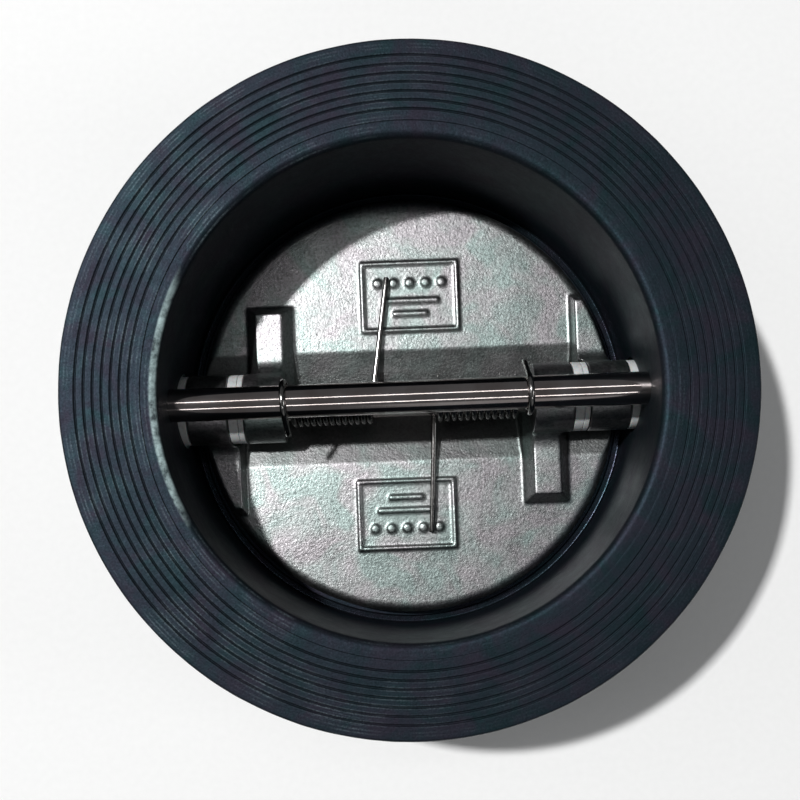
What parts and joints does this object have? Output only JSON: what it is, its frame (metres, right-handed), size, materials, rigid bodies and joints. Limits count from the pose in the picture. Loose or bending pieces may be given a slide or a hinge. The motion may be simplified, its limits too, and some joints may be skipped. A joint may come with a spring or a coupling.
{
  "type": "wafer check valve",
  "caption": "Round dual-plate wafer check valve with a grooved rubber-lined body, sprung half-disc plates and a stop pin across the outlet.",
  "frame": {"origin": "centre of the inlet face, on the flow axis", "axes": "+Z is the flow direction from inlet face to outlet face, +X runs along both pins, +Y is the side of the upper plate"},
  "size_m": [0.162, 0.162, 0.064],
  "materials": {
    "body_paint": "satin black paint over cast iron",
    "lining_rubber": "satin blue-black vulcanised rubber",
    "cast_stainless": "pickled sand-cast stainless steel, fine grain",
    "pin_steel": "ground and polished stainless bar",
    "spring_wire": "drawn spring wire",
    "white_ptfe": "smooth white PTFE",
    "plug_steel": "turned steel",
    "gasket_fibre": "pressed brown fibre"
  },
  "bodies": {
    "valve_body": {"body_casting": "body_paint", "rubber_lining": "lining_rubber", "hinge_pin": "pin_steel", "stop_pin": "pin_steel", "spring_left": "spring_wire", "spring_right": "spring_wire", "thrust_washer_left": "white_ptfe", "thrust_washer_right": "white_ptfe", "hub_washer_left_inner": "white_ptfe", "hub_washer_left_outer": "white_ptfe", "hub_washer_right_inner": "white_ptfe", "hub_washer_right_outer": "white_ptfe", "hinge_pin_plug_left": "plug_steel", "hinge_pin_plug_right": "plug_steel", "stop_pin_plug_left": "plug_steel", "stop_pin_plug_right": "plug_steel", "hinge_plug_gasket_left": "gasket_fibre", "hinge_plug_gasket_right": "gasket_fibre", "stop_plug_gasket_left": "gasket_fibre", "stop_plug_gasket_right": "gasket_fibre"},
    "flap_upper": {"plate_upper": "cast_stainless"},
    "flap_lower": {"plate_lower": "cast_stainless"}
  },
  "joints": [
    {"name": "upper_plate_hinge", "type": "hinge", "parent": "valve_body", "child": "flap_upper", "pos_m": [0, 0, 0.032], "axis": [1, 0, 0], "range_deg": [0, 80], "stiffness_Nm_per_rad": 0.08, "springref_deg": -68.75, "deforming": ["spring_left"]},
    {"name": "lower_plate_hinge", "type": "hinge", "parent": "valve_body", "child": "flap_lower", "pos_m": [0, 0, 0.032], "axis": [-1, 0, 0], "range_deg": [0, 80], "stiffness_Nm_per_rad": 0.08, "springref_deg": -68.75, "deforming": ["spring_right"]}
  ]
}
